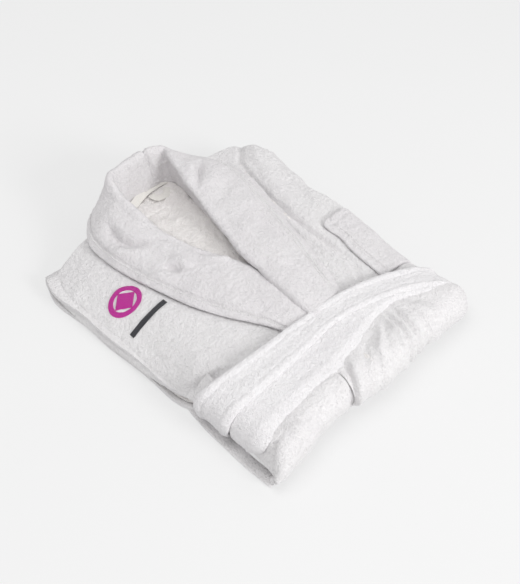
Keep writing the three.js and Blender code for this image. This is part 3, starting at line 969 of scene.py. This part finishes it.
def ribbon(line, width, thickness, step=1.6, tilt=0.0, relief=None):
    """A flat strip along a line of points; tilt raises its left edge, in millimetres."""
    line = np.array(line, float)
    lengths = np.concatenate([[0], np.cumsum(np.linalg.norm(np.diff(line, axis=0), axis=1))])
    track = spline(lengths / lengths[-1], line)

    def surface(u, v):
        points = track(u)
        ahead = np.gradient(points[:, 0], axis=0)
        left = np.stack([-ahead[:, 1], ahead[:, 0]], axis=-1)
        left /= np.linalg.norm(left, axis=1)[:, None]
        across = (v - 0.5) * width
        points = points.copy()
        points[..., :2] += across[..., None] * left[:, None]
        points[..., 2] += (v - 0.5) * tilt
        return points

    return Sheet(surface, runs((lengths[-1], step)), runs((width, step)), thickness, relief,
                 under=0.0)


def tape_relief(middle, u, v):
    edge = np.exp(-((v - 0.14) / 0.05) ** 2) + np.exp(-((v - 0.86) / 0.05) ** 2)
    return -0.35 * edge + noise(middle, 9) * 0.5


neck_strip = ribbon([(-29, 194, 51.8), (-14, 199.8, 52.2), (0, 204.4, 52.4),
                     (20, 206, 52.6), (35, 204.4, 52.6)],
                    10.4, 2.0, tilt=4.5, relief=tape_relief)
finish_piece(neck_strip.build("neck_strip"), TAPE, nodes=["neck_tape"])

hang_strip = ribbon([(3, 196.2, 50.1), (2.5, 191, 50.7), (4.6, 185.4, 51.0),
                     (13, 183.2, 51.0), (21.6, 185.4, 51.0), (24, 191, 50.7),
                     (23.5, 196.2, 50.1)], 10.0, 1.3, relief=tape_relief)
finish_piece(hang_strip.build("hanging_strip"), TAPE, "hanging_loop",
             ["hanging_loop"])

TOP_FACE = Layer(0.0, 0.0)


def on_top(x, y, above):
    """Points lying on the robe's outer face, above it by some millimetres."""
    z = TOP_FACE.top(x, y, left_edge(y), right_edge(y))
    middle = np.stack([x, y, z], axis=-1)
    rise = body_relief(middle, None, None) - terry(middle, 0.8) * 0.5
    return middle + np.stack([0 * x, 0 * x, rise + above], axis=-1)


def pocket():
    def surface(u, v):
        y = lerp(5, -104, u)
        inner = spline([-104, -52, -25, -9, 2, 5], [106, 108, 113, 112, 116, 122])(y)
        q = lerp(0, 1, v)
        outer = right_edge(y)
        bend = right_round(y)
        x = np.minimum(lerp(inner, outer + 3, q), outer - bend * (1 - np.sin(
            np.clip((lerp(inner, outer + 3, q) - (outer - bend)) / bend, 0, 1) * np.pi / 2)) ** 1)
        x = np.where(lerp(inner, outer + 3, q) < outer - bend, lerp(inner, outer + 3, q), x)
        return on_top(x, y, 2.6)

    def relief(middle, u, v):
        edge = np.exp(-((v - 0.2) / 0.022) ** 2) + np.exp(-((u - 0.10) / 0.012) ** 2) * (v > 0.2)
        return terry(middle, 0.6) - 1.3 * np.minimum(edge, 1)

    return Sheet(surface, runs((109, 1.7)), runs((56, 1.7)), 4.0, relief)


POCKET = pocket()
# The pocket wears the darker terry, with its painted shade.
finish_piece(POCKET.build("chest_patch"), SHADED_TERRY, nodes=["chest_pocket"])


def satin(name, outline, thickness, material, nodes=(), step=1.3, size=(40, 10)):
    """A raised satin-stitched shape; outline(u, v) gives plan points."""
    def surface(u, v):
        x, y = outline(u, v)
        return on_top(x, y, 0.9)

    def relief(middle, u, v):
        return 0.25 * np.sin(middle[..., 0] * 2.6 + middle[..., 1] * 0.6)

    sheet = Sheet(surface, runs((size[0], step)), runs((size[1], step)), thickness, relief,
                  under=0.0)
    return finish_piece(sheet.build(name), material, nodes=nodes)


def oval_ring(u, v):
    angle = -2 * np.pi * u
    reach = lerp(0.70, 1.0, v)
    return -129 + 21 * reach * np.cos(angle), 86 + 19 * reach * np.sin(angle)


def lozenge(u, v):
    a, b = (u - 0.5) * 2, (v - 0.5) * 2
    return -129 + 9.5 * (a - b) / 1.25, 86 + 8.5 * (a + b) / 1.25


satin("medallion_ring", oval_ring, 1.6, MAGENTA, ["embroidered_emblem"],
      1.3, (122, 7))
satin("medallion_centre", lozenge, 1.6, MAGENTA, (), 1.3, (17, 17))
satin("grey_bar", lambda u, v: (lerp(-152, -99, u), lerp(43, 50, v) + 1.2 * u), 1.4, GREY,
      ["embroidered_bar"], 1.3, (53, 7))


# ---- the edge of the lowest layer, beside the belt -----------------------------------

def hem_edge():
    line = [(-146, -40, 3.2), (-154, -60, 3.0), (-158.5, -90, 2.5), (-160, -130, 2.3),
            (-160.5, -165, 2.3), (-159, -198, 3.4)]

    def relief(middle, u, v):
        return terry(middle, 0.35)

    sheet = ribbon(line, 15.0, 3.0, relief=relief)
    return finish_piece(sheet.build("hem_edge_left"), BODY)


hem_edge()


# ---- belt loops ---------------------------------------------------------------------

def side_loop(name, side, node):
    def surface(u, v):
        y = lerp(-66.5, -85.5, u) if side > 0 else lerp(-85.5, -66.5, u)
        edge = right_edge(y) if side > 0 else left_edge(y)
        bend = right_round(y) if side > 0 else left_round(y)
        angle = lerp(0.15, 0.85, 1 - v) * np.pi / 2
        x = edge - side * bend * (1 - np.cos(angle))
        low = (right_edge_height(y) if side > 0 else left_edge_height(y)) + 3
        z = low + (top_inside(x, y) - low) * np.sin(angle)
        out = np.stack([side * np.cos(angle), 0 * y, np.sin(angle)], axis=-1)
        return np.stack([x, y, z], axis=-1) + out * 2.4

    sheet = Sheet(surface, runs((19, 1.5)), runs((24, 1.5)), 2.0,
                  lambda middle, u, v: noise(middle, 5) * 0.4, under=0.0)
    return finish_piece(sheet.build(name), BODY, nodes=[node])


side_loop("side_loop_left", -1, "belt_loop_left")
side_loop("side_loop_right", 1, "belt_loop_right")


# ---- stitches -----------------------------------------------------------------------

def stitches(name, sheet, places, length, radius, across=False, lean=0.0):
    """Rows of small thread loops on a sheet; places are (u, v) shares."""
    places = np.array(places, float)
    centre, normal = sheet.at(places[:, 0], places[:, 1])
    step = 0.004
    if across:
        ahead = sheet.at(places[:, 0] + lean * step, places[:, 1] + step)[0] - centre
    else:
        ahead = sheet.at(places[:, 0] + step, places[:, 1])[0] - centre
    ahead /= np.linalg.norm(ahead, axis=1)[:, None]
    side = np.cross(normal, ahead)
    shares = np.array([-1.0, -0.8, -0.35, 0.35, 0.8, 1.0])
    fat = np.array([0.25, 0.8, 1.0, 1.0, 0.8, 0.25])
    turn = np.arange(6) * np.pi / 3
    points, faces = [], []
    for c, n, a, b in zip(centre, normal, ahead, side):
        start = len(points)
        for share, size in zip(shares, fat):
            middle = c + a * share * length / 2 + n * (0.2 * (1 - share * share))
            for angle in turn:
                points.append(middle + radius * size * (b * np.cos(angle) + n * np.sin(angle)))
        for k in range(5):
            for j in range(6):
                p, q = start + k * 6 + j, start + k * 6 + (j + 1) % 6
                faces.append((p, q, q + 6, p + 6))
        faces.append((start + 5, start + 4, start + 3, start + 2))
        faces.append((start + 5, start + 2, start + 1, start))
        last = start + 30
        faces.append((last, last + 1, last + 2, last + 3))
        faces.append((last, last + 3, last + 4, last + 5))
    return add_mesh(name, np.array(points), np.array(faces))


def collar_stitches(name, sheet, places, lapel, hinge, outward, **options):
    obj = stitches(name, sheet, places, **options)
    obj.data.materials.append(STITCH)
    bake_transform(obj)


def wander(count, start, end, v, size, seed):
    """Places along u at about one v, each a little off its line."""
    chance = np.random.default_rng(seed)
    u = np.linspace(start, end, count) + chance.normal(size=count) * 0.0008
    return np.stack([u, v + chance.normal(size=count) * size], axis=1)


collar_stitches("stitch_fringe_right", RIGHT_COLLAR, wander(95, 0.06, 0.70, 0.128, 0.004, 1),
                "lapel_right", (50, -10, 66), (34, -3, 0), length=6.0, radius=0.75,
                across=True, lean=1.2)
collar_stitches("stitch_row_right", RIGHT_COLLAR, wander(110, 0.04, 0.78, 0.172, 0.002, 2),
                "lapel_right", (50, -10, 66), (34, -3, 0), length=3.0, radius=0.7)
collar_stitches("stitch_row_left", LEFT_COLLAR, wander(105, 0.16, 0.96, 0.083, 0.002, 3),
                "lapel_left", (-42, -10, 66), (-34, -3, 0), length=3.0, radius=0.7)

patch_rows = np.concatenate([
    np.stack([np.linspace(0.14, 0.94, 26), np.full(26, 0.16)], axis=1),
    np.stack([np.linspace(0.14, 0.94, 26), np.full(26, 0.235)], axis=1)])
finish_piece(stitches("stitch_patch", POCKET, patch_rows, 2.6, 0.45), STITCH)
